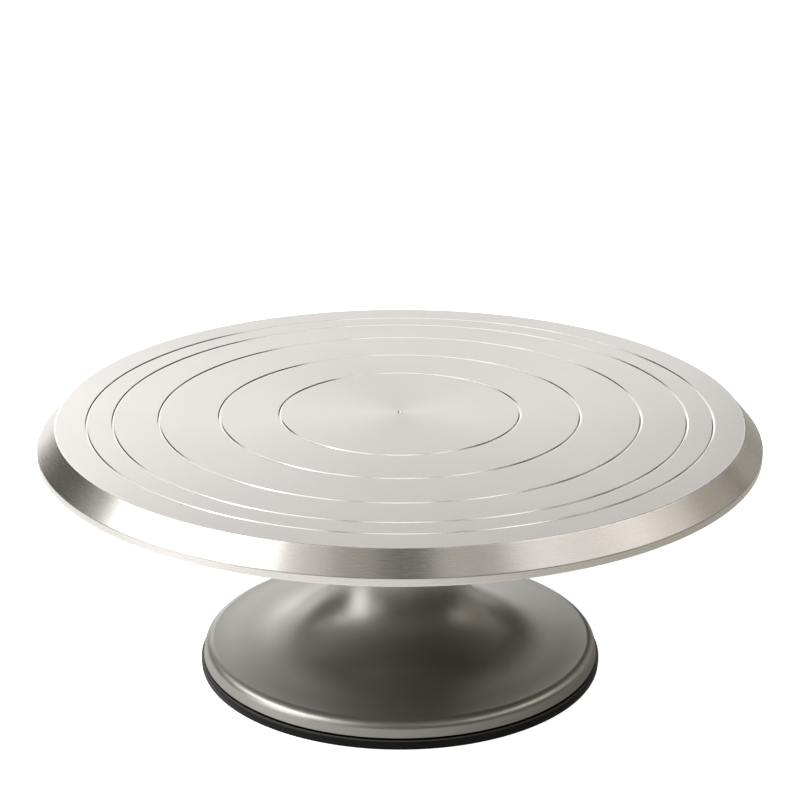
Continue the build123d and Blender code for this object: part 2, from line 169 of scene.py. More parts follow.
class Material(Shader):
    """A procedural Principled material on object coordinates, with radius about the spin axis."""

    def __init__(self, name):
        self.material = bpy.data.materials.new(name)
        self.material.use_nodes = True
        super().__init__(self.material.node_tree)
        self.tree.nodes.clear()
        self.output = self.node("ShaderNodeOutputMaterial")
        self.principled = self.node("ShaderNodeBsdfPrincipled")
        self.fill(self.output, Surface=self.out(self.principled))
        self.place = self.out(self.node("ShaderNodeTexCoord"), "Object")

    @cached_property
    def xyz(self):
        return self.split(self.place)

    @cached_property
    def z(self):
        return self.xyz[2]

    @cached_property
    def radius(self):
        x, y, _ = self.xyz
        return self.math("SQRT", x * x + y * y)

    @cached_property
    def direction(self):
        """Cosine and sine of the angle about the axis."""
        safe_radius = self.math("MAXIMUM", self.radius, 1e-5)
        return self.xyz[0] / safe_radius, self.xyz[1] / safe_radius

    @cached_property
    def along(self):
        """Grows outwards and downwards, across the turning marks."""
        return self.radius - self.z

    def noise(self, scale, detail=3.0, rough=0.6, vector=None):
        node = self.node("ShaderNodeTexNoise")
        self.fill(node, Vector=vector or self.place, Scale=scale, Detail=detail, Roughness=rough)
        return self.out(node, "Fac")

    def turning_marks(self, across, around, detail=3.0, rough=0.6):
        """Noise drawn out around the axis: its frequency per metre across the marks and around."""
        cosine, sine = self.direction
        node = self.node("ShaderNodeCombineXYZ")
        self.put_all((self.along * across, cosine * around, sine * around), node.inputs)
        return self.noise(1.0, detail, rough, vector=self.out(node))

    def half_plus(self, amount):
        """A mix amount about one half, kept within 0 to 1."""
        return self.math("ADD", 0.5, amount, clamp=True)

    def bump(self, height, distance):
        node = self.node("ShaderNodeBump")
        self.fill(node, Distance=distance, Height=height)
        return self.out(node, "Normal")

    def surface(self, **inputs):
        self.fill(self.principled, **inputs)

    def brush_around(self):
        """Turn the anisotropy to run around the axis."""
        tangent = self.node("ShaderNodeTangent", direction_type="RADIAL", axis="Z")
        self.surface(Tangent=self.out(tangent), Anisotropic_Rotation=0.25)


# ======================================================================
# Materials
# ======================================================================
def cast_underside(m):
    """A coated cast surface, with painted shade darkening it towards the middle."""
    grain = m.noise(scale=2600.0)
    cloud = m.noise(scale=22.0, rough=0.55)
    colour = m.mix(
        m.half_plus(cloud.swing(0.8)), base=(0.235, 0.225, 0.198), over=(0.285, 0.274, 0.243)
    )
    # Painted shade: the coat is painted much darker towards the hub
    hub_painted_shade = m.fade(m.radius, low=0.055, high=0.122, smooth=True)
    colour = m.mix(hub_painted_shade, colour, over=(0.080, 0.076, 0.064))
    cast = m.node("ShaderNodeBsdfPrincipled")
    m.fill(
        cast,
        Base_Color=colour,
        Metallic=0.82,
        Roughness=0.46 + grain.swing(0.12),
        Normal=m.bump(grain, distance=0.00002),
    )
    return cast


def spun_aluminium():
    """Bare aluminium brushed in circles, left as cast and coated underneath."""
    m = Material("spun_aluminium")
    fine = m.turning_marks(across=9000.0, around=9.0, rough=0.65)
    mid = m.turning_marks(across=2200.0, around=3.0, detail=2.0, rough=0.5)
    broad = m.noise(scale=9.0, rough=0.5)
    arcs = m.turning_marks(across=5200.0, around=26.0, detail=2.0, rough=0.5)
    scratch = m.ramp(arcs, low=0.63, high=0.74)
    face = m.ramp(m.z, low=0.1132, high=0.1135) * m.fade(m.radius, low=0.1444, high=0.1450)

    tone = fine.swing(0.17) + mid.swing(0.07) + broad.swing(0.05)
    tone = m.math("ADD", tone, 0.5, clamp=True)
    colour = m.mix(tone, base=(0.665, 0.636, 0.612), over=(0.850, 0.822, 0.798))
    colour = m.mix(scratch * 0.22, colour, over=(0.92, 0.915, 0.905))
    rough = m.lerp(face, base=0.265, over=0.31) + fine.swing(0.14) + broad.swing(0.07)

    # The grooves in the face are smoother and have no brushing
    groove_depth = m.fade(m.z, low=0.11393, high=0.11398) * m.ramp(m.z, low=0.1130, high=0.1132)
    groove = groove_depth * m.radius.below(0.1440)
    rough = m.lerp(groove, rough, over=0.13 + broad.swing(0.08))

    def near(radius, height, reach):
        """1 on a circle about the axis, falling to 0 at reach."""
        off_radius = m.math("POWER", m.radius - radius, 2.0)
        off_height = m.math("POWER", m.z - height, 2.0)
        distance = m.math("SQRT", off_radius + off_height)
        return m.fade(distance, low=0.0, high=reach, smooth=True)

    # The face edge and the lower lip are rubbed bright: wear, with a painted highlight line along
    # them
    rubbed_edge_and_highlight = m.math(
        "MAXIMUM",
        near(FACE_R * MM, HEIGHT * MM, reach=0.0010),
        near(PLATE_R * MM, RIM_Z * MM, reach=0.0010),
    )
    rubbed_edge_and_highlight = rubbed_edge_and_highlight * m.ramp(m.noise(scale=240.0, detail=4.0), low=0.34, high=0.60)
    colour = m.mix(rubbed_edge_and_highlight * 0.55, colour, over=(0.93, 0.915, 0.90))
    rough = m.lerp(rubbed_edge_and_highlight * 0.5, rough, over=0.18)

    # Painted shade: a broken dark line where the bevel meets the band
    broken = m.ramp(m.noise(scale=90.0), low=0.25, high=0.60, start=0.6, end=1.0)
    bevel_band_painted_shade = near(PLATE_R * MM, height=0.10515, reach=0.00042) * broken
    colour = m.mix(bevel_band_painted_shade * 0.75, colour, over=(0.300, 0.285, 0.255))

    m.surface(
        Base_Color=colour,
        Metallic=1.0,
        Roughness=rough,
        Anisotropic=m.lerp(face, base=0.90, over=0.28) * (1.0 - groove),
        Normal=m.bump(fine * 0.6 + mid * 0.4, distance=0.000007),
    )
    m.brush_around()

    # The cast part lies inside a cone just within the rim, below the skin
    inside_cone = (m.radius + m.z * 0.852).below(0.2376)
    underside = inside_cone * m.z.below(0.1110)
    m.mix_surfaces(underside, m.principled, cast_underside(m), m.output)
    return m.material


def satin_cast():
    """Satin cast aluminium with a worn shoulder and painted shade, near black, in the joint at its
    foot.
    """
    m = Material("satin_cast_aluminium")
    grain = m.noise(scale=2600.0)
    orange_peel = m.noise(scale=420.0, detail=2.0, rough=0.5)
    broad = m.noise(scale=16.0, rough=0.55)
    tone = m.half_plus(broad.swing(0.35) + grain.swing(0.35))
    colour = m.mix(tone, base=(0.385, 0.374, 0.345), over=(0.465, 0.454, 0.422))

    from_crest = m.math("ABSOLUTE", m.radius - 0.0846)
    crest = m.fade(from_crest, low=0.0, high=0.0016, smooth=True)
    crest = crest * m.ramp(m.z, low=0.0085, high=0.0100)
    crest = crest * m.ramp(m.noise(scale=130.0, detail=4.0), low=0.40, high=0.66)
    colour = m.mix(crest * 0.30, colour, over=(0.58, 0.57, 0.54))
    # Painted shade: the seat and tongue inside the gap above the rubber are painted near black
    joint_painted_shade = m.z.below(0.00472) * m.radius.above(0.0840)
    colour = m.mix(joint_painted_shade, colour, over=(0.012, 0.012, 0.011))

    m.surface(
        Base_Color=colour,
        Metallic=0.82,
        Roughness=0.33 + broad.swing(0.05) + grain.swing(0.05),
        Normal=m.bump(grain * 0.45 + orange_peel * 0.55, distance=0.000004),
    )
    return m.material


def rubber():
    """Black rubber with a painted highlight on its top lip and painted shade, dead black, in the
    gap inside it.
    """
    m = Material("black_rubber")
    grain = m.noise(scale=1700.0)
    broad = m.noise(scale=30.0)
    tone = m.ramp(broad, low=0.3, high=0.7)
    colour = m.mix(tone, base=(0.004, 0.004, 0.0035), over=(0.009, 0.009, 0.008))
    dust = m.ramp(grain, low=0.60, high=0.78) * 0.35
    colour = m.mix(dust, colour, over=(0.045, 0.044, 0.040))
    rough = 0.36 + grain.swing(0.22)

    lip_inner_r = 0.0857
    lip = m.ramp(m.z, low=0.00364, high=0.00374) * m.radius.above(lip_inner_r)
    # Painted shade: the gap inside the lip is painted dead black, with little shine
    gap_painted_shade = m.ramp(m.z, low=0.00374, high=0.00378) * m.radius.below(lip_inner_r)
    rough = m.lerp(lip * 0.8, rough, over=0.24)
    # Painted highlight: the top lip is painted paler, for the light it catches
    lip_painted_highlight = lip * m.ramp(grain, low=0.2, high=0.5, start=0.7, end=1.0)
    colour = m.mix(lip_painted_highlight, colour, over=(0.095, 0.093, 0.082))
    colour = m.mix(gap_painted_shade, colour, over=(0.002, 0.002, 0.002))

    m.surface(
        Base_Color=colour,
        Roughness=m.lerp(gap_painted_shade, rough, over=0.85),
        Specular_IOR_Level=m.lerp(gap_painted_shade, base=0.18, over=0.04),
        Normal=m.bump(grain, distance=0.00002),
    )
    return m.material


def turned_metal(name, dark, light, rough, across=5200.0, depth=0.000012):
    """Metal with lathe marks; across is their frequency per metre, depth their bump in metres."""
    m = Material(name)
    fine = m.turning_marks(across=across, around=6.0)
    broad = m.noise(scale=60.0, rough=0.55)
    tone = m.half_plus(fine.swing(0.6) + broad.swing(0.5))
    m.surface(
        Base_Color=m.mix(tone, dark, light),
        Metallic=1.0,
        Roughness=rough + fine.swing(0.14),
        Anisotropic=0.6,
        Normal=m.bump(fine, depth),
    )
    m.brush_around()
    return m.material


def speckled(name, dark, light, rough, metallic=1.0, depth=0.00001):
    """A finely grained surface with broad clouds; depth is the grain's bump in metres."""
    m = Material(name)
    grain = m.noise(scale=1800.0)
    broad = m.noise(scale=70.0, rough=0.55)
    tone = m.half_plus(grain.swing(0.5) + broad.swing(0.8))
    m.surface(
        Base_Color=m.mix(tone, dark, light),
        Metallic=metallic,
        Roughness=rough + broad.swing(0.14),
        Normal=m.bump(grain, depth),
    )
    return m.material


# Materials of the smaller parts: name, builder, its arguments
SMALL_PART_LOOKS = [
    ("turned_aluminium", turned_metal,
     dict(dark=(0.20, 0.20, 0.195), light=(0.33, 0.33, 0.32), rough=0.40)),
    ("ground_steel", turned_metal,
     dict(dark=(0.38, 0.38, 0.39), light=(0.56, 0.56, 0.57), rough=0.24,
          across=7000.0, depth=0.000006)),
    ("bearing_steel", turned_metal,
     dict(dark=(0.46, 0.46, 0.47), light=(0.62, 0.62, 0.64), rough=0.16,
          across=9000.0, depth=0.000003)),
    ("polished_balls", speckled,
     dict(dark=(0.62, 0.62, 0.63), light=(0.72, 0.72, 0.73), rough=0.06, depth=0.000001)),
    ("pressed_steel", turned_metal,
     dict(dark=(0.42, 0.42, 0.42), light=(0.58, 0.58, 0.58), rough=0.27, across=3800.0)),
    ("spring_steel", speckled,
     dict(dark=(0.030, 0.028, 0.026), light=(0.075, 0.070, 0.066), rough=0.36)),
    ("zinc_steel", speckled,
     dict(dark=(0.46, 0.47, 0.49), light=(0.64, 0.65, 0.66), rough=0.30)),
    ("cage_nylon", speckled,
     dict(dark=(0.58, 0.52, 0.38), light=(0.72, 0.66, 0.50), rough=0.48, metallic=0.0)),
]

materials = {
    "spun_aluminium": spun_aluminium(),
    "satin_cast_aluminium": satin_cast(),
    "black_rubber": rubber(),
}
for name, build, look in SMALL_PART_LOOKS:
    materials[name] = build(name, **look)

slot_of = {part["node"]: part["material_slot"] for part in frame["record"]["subparts"]}
for name, obj in frame["nodes"].items():
    obj.data.materials.clear()
    obj.data.materials.append(materials[slot_of[name]])


# ======================================================================
# Profiles. A run is a list of (r, z, normal r, normal z), the solid on the left of travel.
# ======================================================================
def line(start, end):
    along = Vector((end[0] - start[0], end[1] - start[1])).normalized()
    return [(*start, along.y, -along.x), (*end, along.y, -along.x)]


def polyline(points):
    return [line(start, end) for start, end in zip(points, points[1:])]


def arc(centre, radius, start, end, steps):
    """An arc with its normals pointing outwards."""
    angles = [start + (end - start) * i / steps for i in range(steps + 1)]
    return [
        (centre[0] + radius * math.cos(a), centre[1] + radius * math.sin(a),
         math.cos(a), math.sin(a))
        for a in angles
    ]


def flipped(run):
    """The same run with its normals reversed."""
    return [(r, z, -normal_r, -normal_z) for r, z, normal_r, normal_z in run]


def fillet(before, corner, after, radius, steps):
    """The arc that rounds a corner between its two neighbours."""
    r, z = corner
    back = Vector((before[0] - r, before[1] - z)).normalized()
    ahead = Vector((after[0] - r, after[1] - z)).normalized()
    half_angle = math.acos(max(-1.0, min(1.0, back.dot(ahead)))) / 2
    reach = radius / math.tan(half_angle)
    bisector = (back + ahead).normalized()
    centre = Vector((r, z)) + bisector * (radius / math.sin(half_angle))
    first = Vector((r, z)) + back * reach
    last = Vector((r, z)) + ahead * reach
    start = math.atan2(first.y - centre.y, first.x - centre.x)
    end = math.atan2(last.y - centre.y, last.x - centre.x)
    if end - start > math.pi:
        end -= math.tau
    elif end - start < -math.pi:
        end += math.tau
    run = arc(centre, radius, start, end, steps)
    if end <= start:
        run = flipped(run)
    return (first.x, first.y), (last.x, last.y), run


def outline(corners, steps):
    """Runs along a closed outline of corners (r, z) or (r, z, fillet radius)."""
    count = len(corners)
    joints = []
    for i, (r, z, *radius) in enumerate(corners):
        if radius:
            after = corners[(i + 1) % count]
            joints.append(fillet(corners[i - 1], (r, z), after, radius[0], steps))
        else:
            joints.append(((r, z), (r, z), None))
    runs = []
    for i, (_, leave, rounding) in enumerate(joints):
        if rounding:
            runs.append(rounding)
        arrive = joints[(i + 1) % count][0]
        if math.dist(leave, arrive) > 1e-6:
            runs.append(line(leave, arrive))
    return runs


def spline(stations, start_tangent, end_tangent, steps):
    """A clamped cubic through the stations, by chord length."""
    points = np.array(stations, float)
    count = len(points)
    chords = np.hypot(*np.diff(points, axis=0).T)
    lengths = np.r_[0, np.cumsum(chords)]

    # Solve for the tangents that keep the curvature continuous
    system = np.zeros((count, count))
    target = np.zeros((count, 2))
    system[0, 0] = system[-1, -1] = 1
    target[0] = np.array(start_tangent) / np.hypot(*start_tangent)
    target[-1] = np.array(end_tangent) / np.hypot(*end_tangent)
    for i in range(1, count - 1):
        h0, h1 = chords[i - 1], chords[i]
        system[i, i - 1], system[i, i], system[i, i + 1] = h1, 2 * (h0 + h1), h0
        rise0 = h1 * (points[i] - points[i - 1]) / h0
        rise1 = h0 * (points[i + 1] - points[i]) / h1
        target[i] = 3 * (rise0 + rise1)
    tangents = np.linalg.solve(system, target)

    run = []
    for length in np.linspace(0, lengths[-1], steps + 1):
        i = min(max(int(np.searchsorted(lengths, length)) - 1, 0), count - 2)
        h = chords[i]
        s = (length - lengths[i]) / h
        place = (
            (2 * s**3 - 3 * s**2 + 1) * points[i]
            + (s**3 - 2 * s**2 + s) * h * tangents[i]
            + (3 * s**2 - 2 * s**3) * points[i + 1]
            + (s**3 - s**2) * h * tangents[i + 1]
        )
        slope = (
            (6 * s**2 - 6 * s) * points[i]
            + (3 * s**2 - 4 * s + 1) * h * tangents[i]
            + (6 * s - 6 * s**2) * points[i + 1]
            + (3 * s**2 - 2 * s) * h * tangents[i + 1]
        ) / h
        slope = slope / np.hypot(*slope)
        run.append((float(place[0]), float(place[1]), float(slope[1]), float(-slope[0])))
    return run


# ======================================================================
# Turned skins
# ======================================================================
ON_AXIS = 1e-6                            # a smaller radius counts as the axis


def circle(count):
    """(cosine, sine) of equal steps round a full turn."""
    angles = [2 * math.pi * k / count for k in range(count)]
    return [(math.cos(a), math.sin(a)) for a in angles]


def turn_normal(normal, turn):
    """A profile normal (r, z) carried round the axis to a (cosine, sine)."""
    return normal[0] * turn[0], normal[0] * turn[1], normal[1]


class Skin:
    """A mesh built about Z with its exact normals. Millimetres in, metres out."""

    def __init__(self, segments):
        self.segments = segments
        self.turns = circle(segments)
        self.verts = []
        self.faces = []
        self.normals = []
        self.rings = {}

    def ring(self, r, z):
        """Vertex numbers of the ring at (r, z), made on first use."""
        key = (round(r, 4), round(z, 4))
        if key not in self.rings:
            base = len(self.verts)
            if r < ON_AXIS:
                self.rings[key] = [base] * self.segments
                self.verts.append((0.0, 0.0, z * MM))
            else:
                self.rings[key] = list(range(base, base + self.segments))
                self.verts.extend((r * c * MM, r * s * MM, z * MM) for c, s in self.turns)
        return self.rings[key]

    def face(self, corners, normals):
        self.faces.append(tuple(corners))
        self.normals.extend(normals)

    def sweep(self, run):
        """Turn a run about Z, with triangles where it meets the axis."""
        for (r0, z0, *normal0), (r1, z1, *normal1) in zip(run, run[1:]):
            ring0, ring1 = self.ring(r0, z0), self.ring(r1, z1)
            for k in range(self.segments):
                after = (k + 1) % self.segments
                here, there = self.turns[k], self.turns[after]
                middle = ((here[0] + there[0]) / 2, (here[1] + there[1]) / 2)
                if r0 < ON_AXIS:
                    corners = [(ring0[0], normal0, middle)]
                else:
                    corners = [(ring0[k], normal0, here), (ring0[after], normal0, there)]
                if r1 < ON_AXIS:
                    corners += [(ring1[0], normal1, middle)]
                else:
                    corners += [(ring1[after], normal1, there), (ring1[k], normal1, here)]
                self.face([vert for vert, _, _ in corners],
                          [turn_normal(normal, turn) for _, normal, turn in corners])

    def drilled_land(self, z, inner_r, outer_r, holes, hole_r, hole_top_z):
        """A flat ring at z facing down, with blind holes at (x, y) going up to conical ends."""
        hole_turns = circle(40)
        count = len(hole_turns)
        mouths = []
        for hole_x, hole_y in holes:
            base = len(self.verts) if mouths else None
            if base is None:
                rims = [self.ring(inner_r, z), self.ring(outer_r, z)]
                base = len(self.verts)
            self.verts.extend(
                ((hole_x + hole_r * c) * MM, (hole_y + hole_r * s) * MM, z * MM)
                for c, s in hole_turns
            )
            mouths.append(list(range(base, base + count)))

        # Fill between the two rims and the hole mouths
        loops = rims + mouths
        verts = [vert for loop in loops for vert in loop]
        points = [Vector(self.verts[vert][:2]) / MM for vert in verts]
        edges = []
        first = 0
        for loop in loops:
            size = len(loop)
            edges += [(first + k, first + (k + 1) % size) for k in range(size)]
            first += size
        filled, _, triangles, *_ = delaunay_2d_cdt(points, edges, [], 0, 1e-5)
        for triangle in triangles:
            x = sum(filled[i].x for i in triangle) / 3
            y = sum(filled[i].y for i in triangle) / 3
            on_land = inner_r * 0.999 <= math.hypot(x, y) <= outer_r
            in_hole = any(math.hypot(x - hx, y - hy) < hole_r * 0.985 for hx, hy in holes)
            if on_land and not in_hole:
                self.face([verts[i] for i in reversed(triangle)], [(0, 0, -1)] * 3)

        end_rise = 0.4 * hole_r
        end_normal = (0.37, -0.93)        # inward and downward parts on the conical end
        for (hole_x, hole_y), mouth in zip(holes, mouths):
            base = len(self.verts)
            self.verts.extend((*self.verts[vert][:2], hole_top_z * MM) for vert in mouth)
            tip = len(self.verts)
            self.verts.append((hole_x * MM, hole_y * MM, (hole_top_z + end_rise) * MM))
            for k in range(count):
                after = (k + 1) % count
                here, there = [(-hole_turns[j][0], -hole_turns[j][1]) for j in (k, after)]
                self.face((mouth[k], base + k, base + after, mouth[after]),
                          [(*here, 0), (*here, 0), (*there, 0), (*there, 0)])
                self.face((base + k, tip, base + after),
                          [turn_normal(end_normal, here), (0, 0, -1),
                           turn_normal(end_normal, there)])

    def rib(self, points, angle, thickness, rounding, steps=4):
        """A closed upright web in the plane at angle, of (r, z) points, with rounded edges."""
        count = len(points)
        ca, sa = math.cos(angle), math.sin(angle)
        outwards = []
        for i in range(count):
            before, here = Vector(points[i - 1]), Vector(points[i])
            after = Vector(points[(i + 1) % count])
            arriving, leaving = (here - before).normalized(), (after - here).normalized()
            outward = Vector((arriving.y, -arriving.x)) + Vector((leaving.y, -leaving.x))
            outwards.append(outward.normalized())

        # Layers go from one flat side over the rounded edge to the other
        quarter = math.pi / 2
        stations = [(-1, quarter * (1 - j / steps)) for j in range(steps + 1)]
        stations += [(1, quarter * j / steps) for j in range(steps + 1)]
        layers = []
        for side, tilt in stations:
            inset = rounding * (1 - math.cos(tilt))
            offset = side * (thickness / 2 - rounding + rounding * math.sin(tilt))
            across, sideways = math.cos(tilt), side * math.sin(tilt)
            base = len(self.verts)
            normals = []
            for (r, z), outward in zip(points, outwards):
                r_in, z_in = r - outward.x * inset, z - outward.y * inset
                self.verts.append(((r_in * ca - offset * sa) * MM,
                                   (r_in * sa + offset * ca) * MM, z_in * MM))
                normals.append((outward.x * across * ca - sideways * sa,
                                outward.x * across * sa + sideways * ca, outward.y * across))
            layers.append((base, normals))
        for (base0, normals0), (base1, normals1) in zip(layers, layers[1:]):
            for i in range(count):
                j = (i + 1) % count
                self.face((base0 + i, base1 + i, base1 + j, base0 + j),
                          [normals0[i], normals1[i], normals1[j], normals0[j]])

        flat = [Vector(point) for point in points]
        edges = [(i, (i + 1) % count) for i in range(count)]
        triangles = delaunay_2d_cdt(flat, edges, [tuple(range(count))], 1, 1e-5)[2]
        for base, side in ((layers[0][0], -1), (layers[-1][0], 1)):
            for triangle in triangles:
                order = triangle if side < 0 else reversed(triangle)
                self.face([base + i for i in order], [(-side * sa, side * ca, 0)] * 3)


def make_object(name, skin, slot, body, stands_for):
    mesh = bpy.data.meshes.new(name)
    mesh.from_pydata(skin.verts, [], skin.faces)
    for polygon in mesh.polygons:
        polygon.use_smooth = True
    mesh.normals_split_custom_set(skin.normals)
    mesh.materials.append(materials[slot])
    obj = bpy.data.objects.new(name, mesh)
    bpy.context.scene.collection.objects.link(obj)
    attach(obj, body)
    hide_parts(stands_for)


# ======================================================================
# Turntable plate
# ======================================================================
SKIN_T = 4.5
RIM_FOOT_W = 3.9                          # width of the rim's lower end
GROOVE_RADII = (131.7, 120.8, 101.6, 76.2, 50.8)
GROOVE_W, GROOVE_FLOOR_W, GROOVE_D = 1.3, 0.35, 0.36
BOSS_R, BOSS_Z, BOSS_FLARE = 42.0, 104.0, 1.6
PILOT_R, PILOT_D = 12.0, 2.0              # recess in the middle of the boss
HOLE_CIRCLE_R, HOLE_R, HOLE_TOP_Z = 30.0, 2.5, 110.4
CENTRE_MARK_R, CENTRE_MARK_D = 1.1, 0.8   # conical dimple in the face
LONGEST_FLAT, FLAT_PITCH = 12.0, 8.0      # longer flats are cut at about this pitch


def plate_corners():
    under_z = HEIGHT - SKIN_T
    foot_r = PLATE_R - RIM_FOOT_W
    inner_top_r = foot_r + (FACE_R - PLATE_R) / BEVEL_DROP * (under_z - RIM_Z)
    corners = [
        (0.0, BOSS_Z + PILOT_D), (PILOT_R, BOSS_Z + PILOT_D), (PILOT_R, BOSS_Z),
        (BOSS_R, BOSS_Z, 1.2), (BOSS_R + BOSS_FLARE, under_z, 2.5),
        (inner_top_r, under_z, 2.5), (foot_r, RIM_Z, 0.5), (PLATE_R, RIM_Z, 0.4),
        (PLATE_R, BAND_TOP_Z, 0.4), (FACE_R, HEIGHT, 0.4),
    ]
    for r in GROOVE_RADII:
        corners += [
            (r + GROOVE_W / 2, HEIGHT, 0.10), (r + GROOVE_FLOOR_W / 2, HEIGHT - GROOVE_D, 0.14),
            (r - GROOVE_FLOOR_W / 2, HEIGHT - GROOVE_D, 0.14), (r - GROOVE_W / 2, HEIGHT, 0.10),
        ]
    return corners + [(CENTRE_MARK_R, HEIGHT, 0.1), (0.0, HEIGHT - CENTRE_MARK_D)]


def plate_skin():
    skin = Skin(512)
    for run in outline(plate_corners(), steps=4):
        if len(run) == 2:
            (r0, z0, *normal), (r1, z1, *_) = run
            if abs(z0 - BOSS_Z) < 1e-6 and abs(z1 - BOSS_Z) < 1e-6:
                land_inner_r, land_outer_r = r0, r1
                continue
            if r0 < ON_AXIS and r1 < ON_AXIS:
                continue
            if abs(r0 - r1) > LONGEST_FLAT:
                cuts = max(2, int(abs(r1 - r0) / FLAT_PITCH))
                run = [(r0 + (r1 - r0) * i / cuts, z0 + (z1 - z0) * i / cuts, *normal)
                       for i in range(cuts + 1)]
        skin.sweep(run)
    angles = [math.radians(45 + 90 * i) for i in range(4)]
    holes = [(HOLE_CIRCLE_R * math.cos(a), HOLE_CIRCLE_R * math.sin(a)) for a in angles]
    skin.drilled_land(BOSS_Z, land_inner_r, land_outer_r, holes, HOLE_R, HOLE_TOP_Z)
    return skin


make_object("turned_plate", plate_skin(), "spun_aluminium", "turntable", "turntable_plate")

# ======================================================================
# Pedestal
# ======================================================================
TONGUE_R, TONGUE_INNER_R, TONGUE_Z = 85.0, 81.0, 2.2    # ring that sits in the rubber foot
RIM_R, RIM_SEAT_Z = 85.9, 4.7
RIM_EDGE, RIM_EDGE_SHIFT = 0.25, 0.045    # rounding of the rim's lower edge, set inwards
SHOULDER_R, SHOULDER_Z, SHOULDER_FILLET = 85.27, 8.07, 4.2
SHOULDER_SLOPE = math.radians(2.65)
NECK_R, NECK_Z, CROWN_Z, CROWN_EDGE = 24.2, 92.0, 97.0, 1.0
COVE_R = 2.5                              # cove between the hollow's roof and the tongue
HOLLOW_R, HOLLOW_Z = TONGUE_INNER_R - COVE_R, 7.7
RIB_COUNT, RIB_T, RIB_ROUNDING = 6, 3.6, 0.8

# Outer trumpet surface between shoulder and neck (r, z)
OUTER = [
    (70.0, 12.5), (60.0, 13.65), (52.0, 15.6), (45.0, 18.9), (39.0, 23.0), (34.5, 27.3),
    (31.0, 32.1), (28.3, 37.6), (26.4, 43.9), (25.0, 53.7), (23.6, 67.1), (23.0, 79.0),
]
# Bore from the crown down to the hollow foot (r, z)
BORE = [
    (NECK_R - CROWN_EDGE, CROWN_Z), (18.0, 97.0), (17.5, 96.5), (17.5, 95.6), (18.6, 95.6),
    (18.6, 94.0), (17.5, 94.0), (17.5, 83.0), (15.2, 83.0), (15.2, 55.4), (17.5, 55.4),
    (17.5, 36.8), (18.3, 36.0), (25.0, 36.0), (25.0, 34.9),
]
# Roof of the hollow foot from the bore outwards (r, z)
INNER = [
    (25.0, 34.9), (28.0, 29.2), (32.0, 23.9), (36.0, 20.15), (40.0, 17.2), (45.0, 14.2),
    (50.0, 11.95), (55.0, 10.45), (60.0, 9.5), (69.0, 8.4), (HOLLOW_R, HOLLOW_Z),
]
# Rib under the trumpet, its upper edge buried in the wall (r, z)
RIB = [
    (20.4, 28.5), (24.0, 23.0), (31.5, 14.5), (40.0, 8.6), (50.0, 5.8), (76.0, 4.4),
    (77.6, 6.0), (77.6, 9.6), (66.2, 10.8), (60.3, 11.5), (55.5, 12.4), (50.7, 13.8),
    (46.0, 16.0), (41.1, 18.9), (37.3, 21.7), (33.5, 25.2), (29.7, 30.2), (26.8, 35.8),
    (22.0, 37.6), (20.4, 37.6),
]


def pedestal_runs():
    rim_start = (RIM_R - RIM_EDGE, RIM_SEAT_Z)
    runs = polyline([
        (TONGUE_INNER_R, TONGUE_Z), (TONGUE_R, TONGUE_Z), (TONGUE_R, RIM_SEAT_Z), rim_start,
    ])

    # Rim and shoulder
    taper = math.atan2(RIM_R - SHOULDER_R, SHOULDER_Z - RIM_SEAT_Z)
    rim_centre = (RIM_R - RIM_EDGE - RIM_EDGE_SHIFT, RIM_SEAT_Z + RIM_EDGE)
    rim_edge = arc(rim_centre, RIM_EDGE, -math.pi / 2, taper, 5)
    rim_edge[0] = (*rim_start, 0.0, -1.0)
    shoulder_centre = (SHOULDER_R - SHOULDER_FILLET * math.cos(taper),
                       SHOULDER_Z - SHOULDER_FILLET * math.sin(taper))
    shoulder_end = math.pi / 2 - SHOULDER_SLOPE
    shoulder = arc(shoulder_centre, SHOULDER_FILLET, taper, shoulder_end, 14)
    runs += [rim_edge, [rim_edge[-1], shoulder[0]], shoulder]

    # Trumpet, neck and crown
    runs.append(spline(
        [shoulder[-1][:2]] + OUTER + [(NECK_R, NECK_Z)],
        start_tangent=(-math.cos(SHOULDER_SLOPE), math.sin(SHOULDER_SLOPE)),
        end_tangent=(0, 1),
        steps=96,
    ))
    edge_z = CROWN_Z - CROWN_EDGE
    runs.append(line((NECK_R, NECK_Z), (NECK_R, edge_z)))
    runs.append(arc((NECK_R - CROWN_EDGE, edge_z), CROWN_EDGE, 0, math.pi / 2, 5))

    # Bore, hollow and the inside of the tongue
    runs += polyline(BORE)
    runs.append(spline(INNER, start_tangent=(0.42, -1.0), end_tangent=(1.0, -0.07), steps=56))
    cove_z = HOLLOW_Z - COVE_R
    runs.append(flipped(arc((HOLLOW_R, cove_z), COVE_R, math.pi / 2, 0, 6)))
    runs.append(line((TONGUE_INNER_R, cove_z), (TONGUE_INNER_R, TONGUE_Z)))
    return runs


def pedestal_skin():
    skin = Skin(384)
    for run in pedestal_runs():
        skin.sweep(run)
    for i in range(RIB_COUNT):
        skin.rib(RIB, math.tau / RIB_COUNT * i, RIB_T, RIB_ROUNDING)
    return skin


make_object("trumpet_pedestal", pedestal_skin(), "satin_cast_aluminium", "base", "base_pedestal")

# ======================================================================
# Foot ring
# ======================================================================
FOOT_INNER_R, FOOT_INNER_Z = 78.4, 5.2
FOOT_BOTTOM_R, FOOT_R = 86.8, 87.0
FOOT_FLARE_Z, FOOT_LIP_Z = 2.0, 3.8
GRIP_RADII = (81.6, 84.2)                 # grooves in the sole
GRIP_HALF_W, GRIP_FLOOR_HALF_W, GRIP_D = 0.5, 0.4, 0.6


